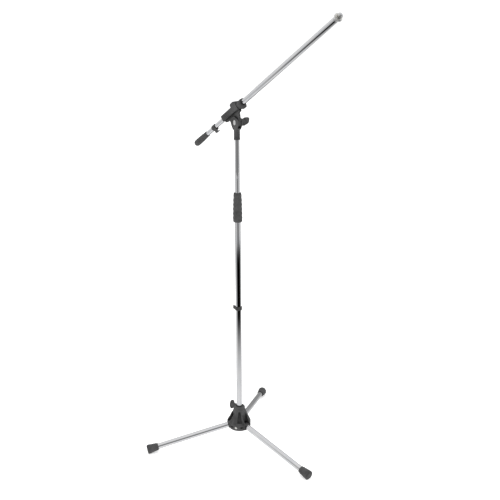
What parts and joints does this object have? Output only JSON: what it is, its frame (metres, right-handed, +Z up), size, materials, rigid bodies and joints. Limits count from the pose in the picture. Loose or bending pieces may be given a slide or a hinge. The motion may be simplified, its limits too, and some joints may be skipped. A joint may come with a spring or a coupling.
{
  "type": "boom microphone stand",
  "caption": "Boom microphone stand: folding tripod base, telescoping pole with twist grip, tilting boom clamp, telescoping boom with threaded tip, rubber feet and tail grip.",
  "frame": {"origin": "on the floor, under the middle of the stand's bounding box", "axes": "+Z up along the pole; the boom leans forward and to the right, towards +X and -Y"},
  "size_m": [0.6278, 0.5984, 1.4975],
  "materials": {
    "moulded_black": "fine-textured black glass-filled nylon moulding",
    "knob_black": "black moulded plastic, slightly smoother than the hub",
    "clip_black": "black flexible plastic",
    "grip_rubber": "soft matt black rubber",
    "foot_rubber": "dull black rubber with scuffs",
    "chrome_tube": "bright chrome-plated steel tube",
    "chrome_tip": "chrome-plated turned steel",
    "zinc_steel": "bright zinc-plated steel",
    "black_steel": "blackened steel",
    "nylon": "natural white nylon",
    "brass": "turned brass"
  },
  "bodies": {
    "base": {"base_hub": "moulded_black", "lower_tube": "chrome_tube", "lower_tube_plug": "moulded_black", "retaining_rivet": "zinc_steel", "hinge_pin_1": "black_steel", "hinge_pin_2": "black_steel", "hinge_pin_3": "black_steel", "height_clutch_seat": "moulded_black", "height_collet": "nylon", "pole_cable_clip": "clip_black"},
    "hub_knob": {"hub_clamp_knob": "knob_black", "hub_clamp_screw": "zinc_steel"},
    "leg_1": {"leg_knuckle_1": "moulded_black", "leg_tube_1": "chrome_tube", "rubber_foot_1": "foot_rubber"},
    "leg_2": {"leg_knuckle_2": "moulded_black", "leg_tube_2": "chrome_tube", "rubber_foot_2": "foot_rubber"},
    "leg_3": {"leg_knuckle_3": "moulded_black", "leg_tube_3": "chrome_tube", "rubber_foot_3": "foot_rubber"},
    "height_grip": {"height_clutch_nut": "moulded_black", "height_grip": "grip_rubber"},
    "upper_pole": {"upper_tube": "chrome_tube", "upper_tube_guide": "nylon"},
    "yoke": {"boom_yoke": "moulded_black", "tilt_bolt": "zinc_steel", "friction_washer_1": "nylon", "friction_washer_2": "nylon"},
    "tilt_knob": {"tilt_knob": "knob_black", "tilt_knob_insert": "brass", "tilt_washer": "zinc_steel"},
    "holder": {"boom_holder": "moulded_black"},
    "boom_inner": {"boom_inner_tube": "chrome_tube", "counterweight_slug": "zinc_steel", "boom_guide_bush": "nylon", "tail_grip": "grip_rubber", "boom_cable_clip": "clip_black"},
    "boom_outer": {"boom_outer_tube": "chrome_tube", "boom_collet": "nylon", "tip_stud": "chrome_tip", "thread_adaptor": "zinc_steel"},
    "boom_clutch": {"boom_clutch_nut": "knob_black"},
    "lock_ring": {"lock_ring": "zinc_steel"}
  },
  "joints": [
    {"name": "leg_fold_1", "type": "hinge", "parent": "base", "child": "leg_1", "pos_m": [0.02846, -0.00153, 0.07032], "axis": [0.9641, -0.2656, 0], "range_deg": [0, 100]},
    {"name": "leg_fold_2", "type": "hinge", "parent": "base", "child": "leg_2", "pos_m": [-0.01223, -0.04167, 0.07032], "axis": [-0.2521, 0.9677, 0], "range_deg": [0, 100]},
    {"name": "leg_fold_3", "type": "hinge", "parent": "base", "child": "leg_3", "pos_m": [0.04287, -0.05685, 0.07032], "axis": [-0.712, -0.7022, 0], "range_deg": [0, 100]},
    {"name": "hub_knob_turn", "type": "hinge", "parent": "base", "child": "hub_knob", "pos_m": [0.0197, -0.03335, 0.13], "axis": [-0.7022, 0.712, 0], "range_deg": [0, 540]},
    {"name": "height_grip_twist", "type": "hinge", "parent": "base", "child": "height_grip", "pos_m": [0.0197, -0.03335, 0.885], "axis": [0, 0, 1], "range_deg": [0, 180]},
    {"name": "pole_height", "type": "slide", "parent": "base", "child": "upper_pole", "axis": [0, 0, 1], "range_m": [-0.17, 0.4]},
    {"name": "boom_pan", "type": "hinge", "parent": "upper_pole", "child": "yoke", "pos_m": [0.0197, -0.03335, 1.125], "axis": [0, 0, 1], "continuous": true},
    {"name": "boom_tilt", "type": "hinge", "parent": "yoke", "child": "holder", "pos_m": [0.0197, -0.03335, 1.1643], "axis": [-0.6691, -0.7431, 0], "range_deg": [-110, 50]},
    {"name": "tilt_knob_turn", "type": "hinge", "parent": "yoke", "child": "tilt_knob", "pos_m": [0.0197, -0.03335, 1.1643], "axis": [0.6691, 0.7431, 0], "range_deg": [0, 540]},
    {"name": "boom_slide", "type": "slide", "parent": "holder", "child": "boom_inner", "axis": [0.6012, -0.5413, 0.5878], "range_m": [0, 0.045]},
    {"name": "boom_telescope", "type": "slide", "parent": "boom_inner", "child": "boom_outer", "axis": [0.6012, -0.5413, 0.5878], "range_m": [0, 0.26]},
    {"name": "boom_clutch_twist", "type": "hinge", "parent": "boom_outer", "child": "boom_clutch", "pos_m": [0.03377, -0.04602, 1.2233], "axis": [0.6012, -0.5413, 0.5878], "range_deg": [-120, 0]},
    {"name": "lock_ring_turn", "type": "hinge", "parent": "boom_outer", "child": "lock_ring", "pos_m": [0.30071, -0.28638, 1.48428], "axis": [0.6012, -0.5413, 0.5878], "range_deg": [0, 720]}
  ]
}
